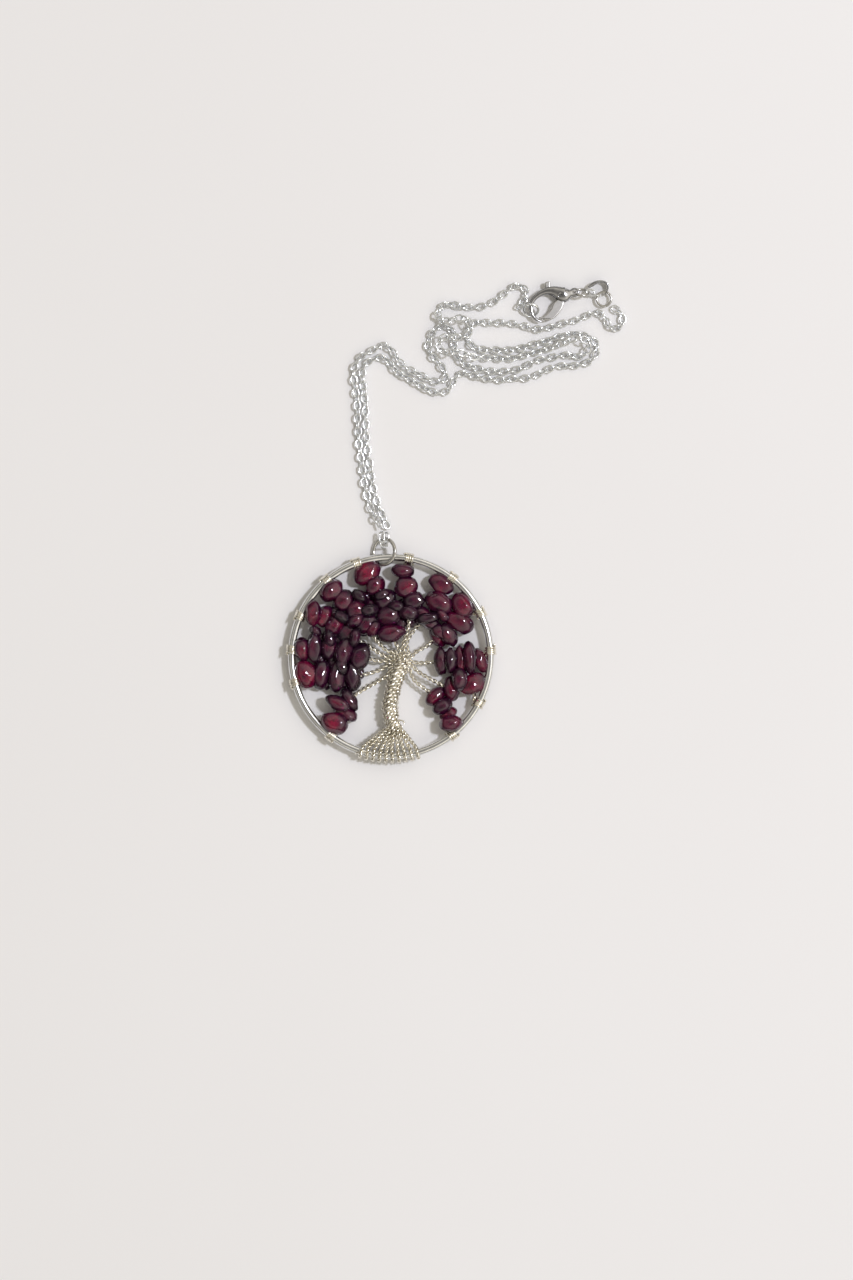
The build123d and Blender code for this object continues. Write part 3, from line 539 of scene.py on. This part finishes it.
# ---------------------------------------------------------------- branches
START = {8: -42, 9: -18, 10: 5, 11: 28, 12: 51, 1: 74, 2: 96, 3: 118, 4: 140, 5: 162, 6: 184, 7: 206}
CX, CY = 2.43, -1.46
for n_, (angle, way, chips) in BRANCHES.items():
    a, b = math.radians(angle), math.radians(START[n_])
    lift = 0.18 if n_ % 2 else -0.18
    pts = [(CX + 0.6 * math.cos(b), CY + 0.6 * math.sin(b), HZ + lift), (CX + 1.85 * math.cos(b), CY + 1.85 * math.sin(b), HZ + lift),
           (CX + 2.85 * math.cos(b), CY + 2.85 * math.sin(b), HZ + lift)]
    pts += [(x, y, HZ + lift) for x, y in way if math.hypot(x - pts[2][0], y - pts[2][1]) > 1.2]
    pts += [(q[0], q[1], q[2]) for q in chips]
    pts += [(22.9 * math.cos(a), 22.9 * math.sin(a), HZ)]
    line = smooth_line([at(*p) for p in pts], 0.13 * MM)
    soup = Soup()
    twisted(soup, line, 0.23 * MM, 0.32 * MM, 2.7 * MM, 2, 7, phase=n_ * 0.7)
    o = soup.object(f"branch_{n_:02d}", WIRE, "pendant", "silver_wire")
    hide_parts(f"branch_wire_{n_:02d}")

# ---------------------------------------------------------------- garnet chips
ball = bmesh.new()
bmesh.ops.create_icosphere(ball, subdivisions=4, radius=1.0)
BALL_V = [v.co.copy() for v in ball.verts]
BALL_F = [tuple(v.index for v in f.verts) for f in ball.faces]
ball.free()


def stone(soup, centre, half, turn, hole, seed, tone):
    """A tumbled chip: blunt lumps, a few worn flats, and a drilled hole along its X."""
    flats = []
    r = random.Random(seed)
    for _ in range(7):
        d = Vector((r.gauss(0, 1), r.gauss(0, 1), r.gauss(0, 1))).normalized()
        flats.append((d, r.uniform(0.80, 0.95)))
    off = Vector((seed * 3.1, seed * 1.7, seed * 0.9))
    ca, sa = math.cos(turn), math.sin(turn)
    base = len(soup.v)
    hy, hx = Vector(hole).y, 0
    for v in BALL_V:
        p = v * (1.0 + 0.10 * noise.noise(v * 1.25 + off) + 0.035 * noise.noise(v * 3.1 + off))
        for d, lim in flats:
            over = p.dot(d) - lim
            if over > 0:
                p -= d * over * 0.78
        q = Vector((p.x * half[0], p.y * half[1], p.z * half[2]))
        away = math.hypot(q.y - hole[1], q.z - hole[2])
        if away < 0.62:
            q.x *= 0.80 + 0.20 * min(1.0, max(0.0, (away - 0.36) / 0.26))
        x, y = q.x * ca - q.y * sa, q.x * sa + q.y * ca
        w = at(centre[0] + x, centre[1] + y, centre[2] + q.z)
        if w.z < 0.00002:
            w.z = 0.00002
        soup.v.append(tuple(w))
        # painted light: the red is lifted in the stone's middle as if lit through it, with a painted dark rim at the
        # edge, on top of the stone's own tone
        soup.tone.append(min(1.0, max(0.0, tone + 0.56 * (1.0 - min(1.0, p.x * p.x + p.y * p.y)) - 0.27)))
    soup.f += [tuple(base + i for i in f) for f in BALL_F]


# stones crowded out of line, riding up between their neighbours: middle, half sizes, direction
LOOSE = {
    1: [(1.4, 12.2, 3.6, 1.5, 2.2, 1.6, 80), (-2.1, 14.9, 3.5, 1.4, 2.1, 1.6, 120)],
    2: [(-7.6, 14.6, 3.6, 1.5, 2.3, 1.7, 40), (-5.2, 11.3, 3.9, 1.6, 2.3, 1.7, 100)],
    3: [(-8.6, 8.7, 4.0, 1.6, 2.3, 1.6, 125), (-4.3, 6.7, 3.9, 1.5, 2.2, 1.5, 150)],
    4: [(-12.0, 9.6, 3.8, 1.4, 2.2, 1.6, 60), (-8.7, 4.6, 4.1, 1.5, 2.4, 1.5, 170)],
    5: [(-14.9, 4.3, 3.9, 1.5, 2.2, 1.6, 10), (-18.3, 6.3, 3.4, 1.1, 1.7, 1.4, 60)],
    6: [(-11.9, -2.4, 4.2, 1.4, 2.0, 1.4, 20)],
    10: [(13.6, 4.9, 3.2, 1.7, 2.2, 1.6, 20)],
    11: [(9.0, 9.3, 3.7, 1.6, 3.0, 1.7, 100), (11.9, 5.9, 3.3, 1.8, 2.4, 1.6, 60)],
    12: [(12.5, 10.0, 3.6, 1.3, 2.0, 1.5, 40)],
}

# the layer below: stones that fill the gaps of the crowded side, given to the nearest branch
BELOW = {}
below_rng = random.Random(77)
middles = {n: (sum(c[0] for c in chips) / len(chips), sum(c[1] for c in chips) / len(chips)) for n, (_, _, chips) in BRANCHES.items()}
for row in range(-4, 9):
    for column in range(-9, 5):
        x = column * 2.5 + (row % 2) * 1.25 + below_rng.uniform(-0.4, 0.4)
        y = row * 2.1 + below_rng.uniform(-0.35, 0.35)
        middle = (-15.5 < x < 6.5 and 5.3 + max(0.0, x + 2.0) * 0.15 < y < 15.0 - abs(x + 3.0) * 0.10)
        left = (-18.5 < x < -7.0 and -7.2 < y <= 6.0 and x < -7.6 - 0.35 * max(0.0, y))
        if not (middle or left) or math.hypot(x, y) > 19.0:
            continue
        nearest = min((n for n in (1, 2, 3, 4, 5, 6)), key=lambda n: (middles[n][0] - x) ** 2 + (middles[n][1] - y) ** 2)
        BELOW.setdefault(nearest, []).append((x, y, 1.55, below_rng.uniform(1.35, 1.6), below_rng.uniform(1.7, 2.1), 1.25, below_rng.uniform(0, 180)))

for n_, (angle, way, chips) in BRANCHES.items():
    soup = Soup()
    for k, (x, y, z, hx, hy, hz, turn, ex, ey) in enumerate(chips):
        t = math.radians(turn)
        # the hole as seen from the stone's own middle
        hole = (0, -(-ex * math.sin(t) + ey * math.cos(t)), 0)
        packed = n_ in (1, 2, 3, 4, 5, 6)
        along, across = (1.46, 1.30) if packed else (1.46, 1.36)
        along = min(along, max(1.0, 2.75 / hx))
        reach = 24.2 - math.hypot(x, y)
        along, across = min(along, max(0.98, reach / hx)), min(across, max(1.0, (reach + 0.5) / hy))
        tall = 1.02
        if n_ == 1 and k == len(chips) - 1:
            along, across, tall, x = 0.97, 0.90, 0.97, x + 0.35         # room for the ring that swings past it
        out = min(1.0, math.hypot(x, y) / 21.0)
        tone = min(1.0, max(0.0, 0.23 + 0.50 * out ** 2.5 * rng.uniform(0.5, 1.15) + rng.uniform(-0.18, 0.22)))
        stone(soup, (x + ex, y + ey, z), (hx * along, hy * across, hz * tall), t, hole, 17 * n_ + 5 * k + 3, tone)
    for x, y, z, hx, hy, hz, turn in LOOSE.get(n_, []):
        stone(soup, (x, y, z), (hx, hy, hz), math.radians(turn), (0, 0, 0), int(31 * n_ + x * 7 + y * 3) % 997, rng.uniform(0.02, 0.5))
    for x, y, z, hx, hy, hz, turn in BELOW.get(n_, []):
        stone(soup, (x, y, z), (hx, hy, hz), math.radians(turn), (0, 0, 0), int(47 * n_ + x * 11 + y * 5) % 991, 0.16 + 0.2 * noise.noise(Vector((x * 0.7, y * 0.7, 2.0))))
    o = soup.object(f"garnets_{n_:02d}", GARNET, "pendant", "garnet", tones=True)
    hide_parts(f"garnet_chips_{n_:02d}")

# ---------------------------------------------------------------- trunk: the pairs of wire twisted together
trunk_line = smooth_line([at(CX, CY + 0.6, HZ), at(CX - 0.35, CY - 1.2, HZ), at(0.55, -7.6, HZ), at(-0.25, -12.8, HZ), at(0.5, -17.3, HZ)], 0.16 * MM)
soup = Soup()
fr = frames(trunk_line)
m_ = len(trunk_line)
core = [1.15 * MM * (0.75 + 0.25 * math.sin(math.pi * min(1, i / m_ + 0.2))) for i in range(m_)]
soup.tube(trunk_line, core, 12)
for s in range(8):
    pts = []
    for i, (p, (t, n, b)) in enumerate(zip(trunk_line, fr)):
        u = i / (m_ - 1)
        w = 2 * math.pi * (s / 8 + 1.55 * u) + 0.12 * math.sin(9 * u + s)
        r = (1.50 + 0.12 * math.sin(7 * u + s * 1.9) - 0.16 * math.exp(-((u - 0.9) / 0.07) ** 2)) * MM
        pts.append(p + n * (r * math.cos(w)) + b * (r * math.sin(w)))
    twisted(soup, pts, 0.33 * MM, 0.33 * MM, 3.2 * MM, 2, 8, phase=s)
o = soup.object("trunk_twist", WIRE, "pendant", "silver_wire")
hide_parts("trunk")

# ---------------------------------------------------------------- roots: the pairs fan out and loop under the hoop
soup = Soup()
for i in range(10):
    foot = math.radians(252.6 + i * 3.62)
    c, s = math.cos(foot), math.sin(foot)
    x0 = 0.55 + (i - 4.5) * 0.34
    z0 = HZ + (0.5 if i % 2 else -0.4)
    g = 0.90 + 0.42
    r = [22.9, 24.1 + 0.55, 24.1 + g, 24.1 + g * 0.75, 24.1 - 0.1, 24.1 - g]
    h = [HZ + g + 0.05, HZ + g * 0.95, HZ + 0.1, HZ - g * 0.75, HZ - g, HZ - g * 0.72]
    sway = rng.uniform(-0.22, 0.22)
    pts = [(x0 * 0.9, -15.9, z0), (x0, -17.2, z0 + 0.1)]
    for f in (0.28, 0.62):
        pts.append((x0 + (22.9 * c - x0) * f + sway * f + 0.12 * x0 * (1 - f), -17.2 + (22.9 * s + 17.2) * f, z0 + 0.1 + (h[0] - z0) * f))
    pts += [(r[k] * c + (sway * 0.5 if k < 1 else 0), r[k] * s, h[k]) for k in range(6)]
    line = smooth_line([at(*p) for p in pts], 0.12 * MM)
    twisted(soup, line, 0.26 * MM, 0.27 * MM, 2.1 * MM, 2, 7, phase=i * 1.3)
# a loop of wire bound round the foot of the trunk
bind = []
for k in range(70):
    w = 2 * math.pi * 1.9 * k / 69
    bind.append(at(0.9 + 1.75 * math.cos(w + 0.4), -16.7 + 0.35 * math.sin(w) - 0.35 * k / 69, HZ + 1.45 * math.sin(w + 0.4)))
soup.tube(bind, 0.2 * MM, 7)
loop = [at(2.0 + 1.15 * math.cos(w) + 0.2 * math.sin(2 * w), -16.35 + 0.95 * math.sin(w), HZ + 1.30 + 0.30 * math.cos(w)) for w in [2 * math.pi * k / 36 for k in range(34)]]
soup.tube(loop, 0.2 * MM, 7)
stray = [at(-5.9, -23.0, HZ + 1.15), at(-7.0, -23.2, HZ + 1.2), at(-8.1, -23.3, HZ + 0.9), at(-8.6, -23.6, HZ + 0.3)]
soup.tube(smooth_line(stray, 0.12 * MM), 0.2 * MM, 7)
o = soup.object("root_loops", WIRE, "pendant", "silver_wire")
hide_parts("roots")

# ---------------------------------------------------------------- clasp
def solid_curve(name, outline, thick, z, bevel, mat, body, slot_name):
    """A flat piece cut to an outline with rounded edges."""
    cu = bpy.data.curves.new(name, "CURVE")
    cu.dimensions = "2D"
    cu.fill_mode = "BOTH"
    sp = cu.splines.new("POLY")
    dense = smooth_loop(outline, 4)
    sp.points.add(len(dense) - 1)
    for q, p in zip(sp.points, dense):
        q.co = (p[0], p[1], 0, 1)
    sp.use_cyclic_u = True
    cu.extrude = thick / 2 - bevel
    cu.bevel_depth = bevel
    cu.bevel_resolution = 3
    cu.offset = -bevel
    t = bpy.data.objects.new(name + "_outline", cu)
    bpy.context.scene.collection.objects.link(t)
    bpy.context.view_layer.update()
    me = bpy.data.meshes.new_from_object(t.evaluated_get(bpy.context.evaluated_depsgraph_get()))
    bpy.data.objects.remove(t)
    for v in me.vertices:
        v.co = at(v.co.x, v.co.y, z + v.co.z)
    bm = bmesh.new()
    bm.from_mesh(me)
    bmesh.ops.remove_doubles(bm, verts=bm.verts, dist=1e-7)
    bmesh.ops.recalc_face_normals(bm, faces=bm.faces)
    bm.to_mesh(me)
    bm.free()
    me.name = name
    me.materials.clear()
    me.materials.append(mat)
    for p in me.polygons:
        p.use_smooth = abs(p.normal.z) < 0.97
    o = bpy.data.objects.new(name, me)
    bpy.context.scene.collection.objects.link(o)
    return o


def smooth_loop(pts, k):
    n, out = len(pts), []
    for i in range(n):
        p0, p1, p2, p3 = (Vector(pts[(i + d) % n]) for d in (-1, 0, 1, 2))
        for j in range(k):
            u = j / k
            out.append(0.5 * ((2 * p1) + (p2 - p0) * u + (2 * p0 - 5 * p1 + 4 * p2 - p3) * u * u + (3 * p1 - p0 - 3 * p2 + p3) * u ** 3))
    return out


# centre line of the hook, and its half width and half height there: tip, round the mouth, over the back, into the bulb, out to the eye
HOOK = [(36.55, 81.30, 0.20, 0.34), (35.40, 81.75, 0.36, 0.55), (34.45, 82.75, 0.48, 0.66), (34.05, 84.05, 0.52, 0.70), (34.02, 85.55, 0.54, 0.72),
        (34.75, 86.95, 0.62, 0.74), (36.20, 88.15, 0.72, 0.80), (37.9, 88.80, 0.95, 0.90), (39.5, 88.75, 1.28, 1.05), (41.0, 88.15, 1.75, 1.25),
        (42.1, 87.85, 1.85, 1.28), (42.9, 88.0, 1.45, 1.05), (43.6, 88.2, 0.95, 0.72), (44.1, 88.32, 0.80, 0.5)]
dense = []
for i in range(len(HOOK) - 1):
    p0, p1, p2, p3 = (Vector(HOOK[max(0, min(len(HOOK) - 1, i + d))]) for d in (-1, 0, 1, 2))
    for j in range(5):
        u = j / 5
        dense.append(0.5 * ((2 * p1) + (p2 - p0) * u + (2 * p0 - 5 * p1 + 4 * p2 - p3) * u * u + (3 * p1 - p0 - 3 * p2 + p3) * u ** 3))
dense.append(Vector(HOOK[-1]))
CZ = 1.60
rings = []
for i, q in enumerate(dense):
    a, b = dense[max(i - 1, 0)], dense[min(i + 1, len(dense) - 1)]
    d = math.hypot(b[0] - a[0], b[1] - a[1])
    nx, ny = -(b[1] - a[1]) / d, (b[0] - a[0]) / d
    ring = []
    for j in range(18):
        w = 2 * math.pi * j / 18
        cw, sw = math.cos(w), math.sin(w)
        e1 = math.copysign(abs(cw) ** 0.85, cw) * q[2]
        e2 = math.copysign(abs(sw) ** 0.85, sw) * q[3]
        ring.append(at(q[0] + nx * e1, q[1] + ny * e1, CZ + e2))
    rings.append(ring)
soup = Soup()
soup.rings(rings)
ring_pts = [at(44.56 + 0.95 * math.cos(w), 88.39 + 0.95 * math.sin(w), CZ) for w in [2 * math.pi * k / 28 for k in range(28)]]
hook = soup.object("clasp_hook", STEEL, "chain", "clasp_steel")


def cutter(name, poly, z0, z1):
    me = bpy.data.meshes.new(name)
    n = len(poly)
    me.from_pydata([tuple(at(x, y, z0)) for x, y in poly] + [tuple(at(x, y, z1)) for x, y in poly], [],
                   [tuple(range(n - 1, -1, -1)), tuple(range(n, 2 * n))] + [(i, (i + 1) % n, n + (i + 1) % n, n + i) for i in range(n)])
    bm = bmesh.new()
    bm.from_mesh(me)
    bmesh.ops.recalc_face_normals(bm, faces=bm.faces)
    bm.to_mesh(me)
    bm.free()
    o = bpy.data.objects.new(name, me)
    bpy.context.scene.collection.objects.link(o)
    return o


def carve(obj, *tools):
    for t in tools:
        mod = obj.modifiers.new("cut", "BOOLEAN")
        mod.operation, mod.object, mod.solver = "DIFFERENCE", t, "EXACT"
    bpy.context.view_layer.update()
    me = bpy.data.meshes.new_from_object(obj.evaluated_get(bpy.context.evaluated_depsgraph_get()))
    obj.modifiers.clear()
    obj.data = me
    for t in tools:
        bpy.data.objects.remove(t)


SLOT = [(36.6, 92.2), (42.3, 92.2), (42.45, 88.3), (42.6, 84.9), (42.0, 82.6), (38.6, 84.3), (39.0, 87.3), (36.9, 89.3)]
carve(hook, cutter("slot_tool", SLOT, CZ - 0.55, CZ + 0.55),
      cutter("bore_tool", [(41.02 + 0.31 * math.cos(w), 87.61 + 0.31 * math.sin(w)) for w in [2 * math.pi * k / 20 for k in range(20)]], -1, 4))
eye = Soup()
eye.tube(ring_pts, 0.24 * MM, 10, closed=True)
eye_o = eye.object("clasp_eye", STEEL, "chain", "clasp_steel")
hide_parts("clasp_body")

LEVER = [(41.02, 87.37), (39.44, 85.79), (38.83, 84.34), (37.74, 83.12), (36.94, 82.55), (35.95, 82.35), (36.53, 81.91), (37.50, 81.55), (38.59, 81.65), (40.05, 82.52),
         (41.38, 84.22), (42.02, 85.79), (41.90, 87.50), (41.40, 88.25), (39.68, 88.71), (38.70, 89.60), (38.66, 90.95), (37.50, 90.90),
         (37.33, 89.92), (37.72, 89.07), (38.95, 88.30), (39.90, 87.45)]
lever = solid_curve("clasp_trigger", LEVER, 0.86, CZ, 0.30, GATE, "clasp_lever", "clasp_steel")
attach(lever, "clasp_lever")
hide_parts("clasp_lever")

# ---------------------------------------------------------------- end tag: a dished teardrop plate
TAG = [(52.05, 87.75, 0.95, 1.62), (52.46, 88.44, 0.42, 2.05), (52.78, 89.35, 0.32, 2.2), (52.75, 90.15, 0.28, 2.3), (52.35, 90.85, 0.26, 2.38), (51.6, 91.2, 0.28, 2.42), (50.7, 91.32, 0.32, 2.48),
       (49.8, 91.2, 0.45, 2.5), (48.9, 90.85, 0.75, 2.35), (48.15, 90.25, 1.1, 2.1), (47.75, 89.7, 1.35, 1.85)]
PLATE = [0.17, 0.17, 0.17, 0.17, 0.18, 0.22, 0.30, 0.42, 0.50, 0.46, 0.28]
soup = Soup()
rings = []
for i, (x, y, z0, z1) in enumerate(TAG):
    a, b = TAG[max(i - 1, 0)], TAG[min(i + 1, len(TAG) - 1)]
    d = math.hypot(b[0] - a[0], b[1] - a[1])
    nx, ny = -(b[1] - a[1]) / d, (b[0] - a[0]) / d
    mid, half = (z0 + z1) / 2, (z1 - z0) / 2
    ring = []
    for j in range(14):
        w = 2 * math.pi * j / 14
        cw, sw = math.cos(w), math.sin(w)
        dish = 0.10 * (1 - sw * sw)
        e1 = math.copysign(abs(cw) ** 0.6, cw) * PLATE[i] + (PLATE[i] - 0.17) + dish
        e2 = math.copysign(abs(sw) ** 0.9, sw) * half
        ring.append(at(x + nx * e1, y + ny * e1, mid + e2))
    rings.append(ring)
soup.rings(rings)
tag = soup.object("tag_plate", STEEL, "end_tag", "clasp_steel")
sub = tag.modifiers.new("smooth", "SUBSURF")
sub.levels = sub.render_levels = 2
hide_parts("end_tag")

# ---------------------------------------------------------------- the CAD pieces that show as they are
for name, mat in (("hoop", HOOP), ("bail_ring", RING), ("chain_bail_links", CHAIN), ("end_ring", CHAIN), ("clasp_pin", STEEL), ("clasp_spring", STEEL),
                  ("clasp_jump_ring", RING), ("extension_links", CHAIN), ("extension_ring", RING)):
    o = bpy.data.objects[name]
    o.data.materials.clear()
    o.data.materials.append(mat)

bpy.context.view_layer.update()
